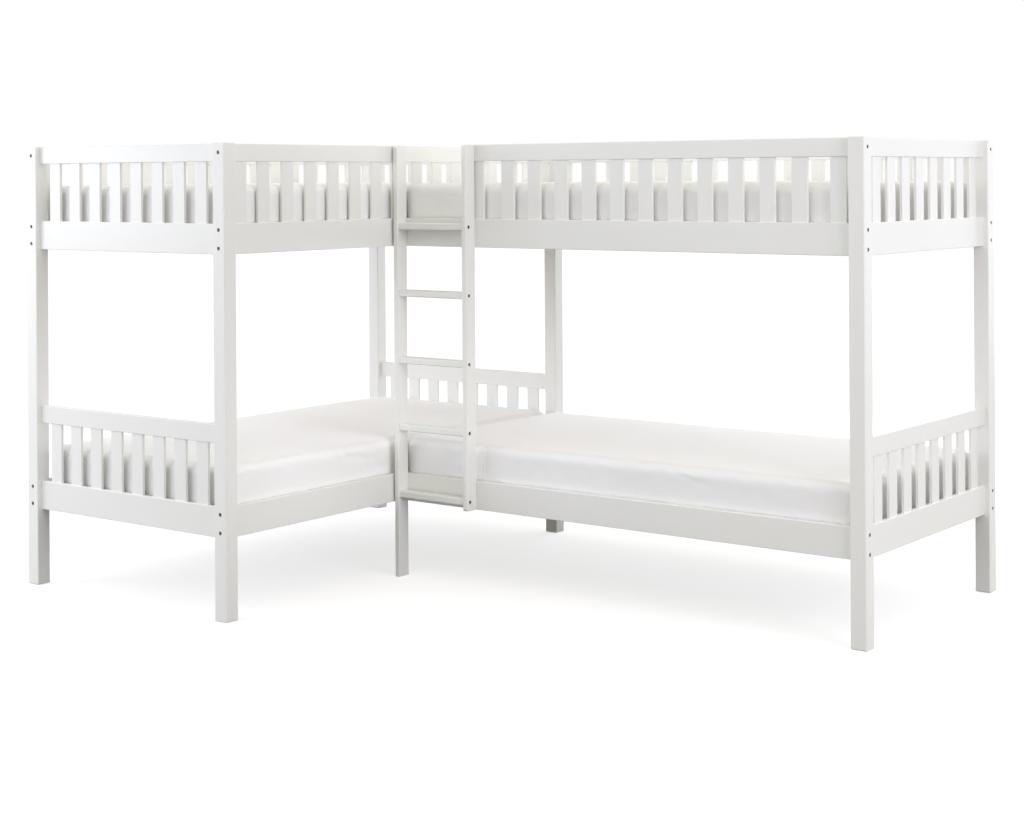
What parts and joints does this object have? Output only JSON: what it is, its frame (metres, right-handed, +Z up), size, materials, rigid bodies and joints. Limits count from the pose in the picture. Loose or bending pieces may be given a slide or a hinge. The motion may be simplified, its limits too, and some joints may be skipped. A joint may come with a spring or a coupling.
{
  "type": "l shaped bunk bed",
  "caption": "White L-shaped bunk bed: slatted guards and end panels, a bolted corner ladder, plank decks and loose mattresses with fitted sheets.",
  "frame": {"origin": "on the floor, under the middle of the bed's footprint", "axes": "+X along bunk B to its free end, +Y from bunk A's near end to the back of both bunks, +Z up"},
  "size_m": [3.008, 2, 1.651],
  "materials": {
    "white_paint": "satin white paint",
    "bare_pine": "bare planed pine",
    "bolt_brass": "antique brass plate",
    "zinc_steel": "bright zinc plate",
    "white_sheet": "white cotton fitted sheet"
  },
  "bodies": {
    "frame": {"post_a_near_outer": "white_paint", "post_a_near_inner": "white_paint", "post_a_far_outer": "white_paint", "post_shared_corner": "white_paint", "post_b_near": "white_paint", "post_b_far": "white_paint", "end_a_near_guard_rail": "white_paint", "end_a_near_upper_slats": "white_paint", "end_a_near_upper_board": "white_paint", "end_a_near_panel_rail": "white_paint", "end_a_near_lower_slats": "white_paint", "end_a_near_lower_board": "white_paint", "end_a_far_guard_rail": "white_paint", "end_a_far_upper_slats": "white_paint", "end_a_far_upper_board": "white_paint", "end_a_far_panel_rail": "white_paint", "end_a_far_lower_slats": "white_paint", "end_a_far_lower_board": "white_paint", "end_b_guard_rail": "white_paint", "end_b_upper_slats": "white_paint", "end_b_upper_board": "white_paint", "end_b_panel_rail": "white_paint", "end_b_lower_slats": "white_paint", "end_b_lower_board": "white_paint", "side_a_outer_guard_rail": "white_paint", "side_a_outer_slats": "white_paint", "side_a_outer_upper_board": "white_paint", "side_a_outer_lower_board": "white_paint", "side_a_inner_guard_rail": "white_paint", "side_a_inner_slats": "white_paint", "side_a_inner_upper_board": "white_paint", "side_a_inner_lower_board": "white_paint", "side_b_front_guard_rail": "white_paint", "side_b_front_slats": "white_paint", "side_b_front_upper_board": "white_paint", "side_b_front_lower_board": "white_paint", "side_b_back_guard_rail": "white_paint", "side_b_back_slats": "white_paint", "side_b_back_upper_board": "white_paint", "side_b_back_lower_board": "white_paint", "ladder_left_stile": "white_paint", "ladder_right_stile": "white_paint", "ladder_rung_1": "white_paint", "ladder_rung_2": "white_paint", "ladder_rung_3": "white_paint", "ladder_rung_4": "white_paint", "ladder_rung_5": "white_paint", "connector_bolts": "bolt_brass", "barrel_nuts": "zinc_steel", "wood_screws": "zinc_steel", "corner_brackets": "zinc_steel", "deck_ledgers": "bare_pine", "deck_a_lower": "bare_pine", "deck_a_upper": "bare_pine", "deck_b_lower": "bare_pine", "deck_b_upper": "bare_pine"},
    "lower_mattress_a": {"mattress_a_lower": "white_sheet"},
    "upper_mattress_a": {"mattress_a_upper": "white_sheet"},
    "lower_mattress_b": {"mattress_b_lower": "white_sheet"},
    "upper_mattress_b": {"mattress_b_upper": "white_sheet"}
  },
  "joints": [
    {"name": "lift_lower_mattress_a", "type": "slide", "parent": "frame", "child": "lower_mattress_a", "axis": [0, 0, 1], "range_m": [0, 0.3]},
    {"name": "lift_upper_mattress_a", "type": "slide", "parent": "frame", "child": "upper_mattress_a", "axis": [0, 0, 1], "range_m": [0, 0.4]},
    {"name": "lift_lower_mattress_b", "type": "slide", "parent": "frame", "child": "lower_mattress_b", "axis": [0, 0, 1], "range_m": [0, 0.3]},
    {"name": "lift_upper_mattress_b", "type": "slide", "parent": "frame", "child": "upper_mattress_b", "axis": [0, 0, 1], "range_m": [0, 0.4]}
  ]
}
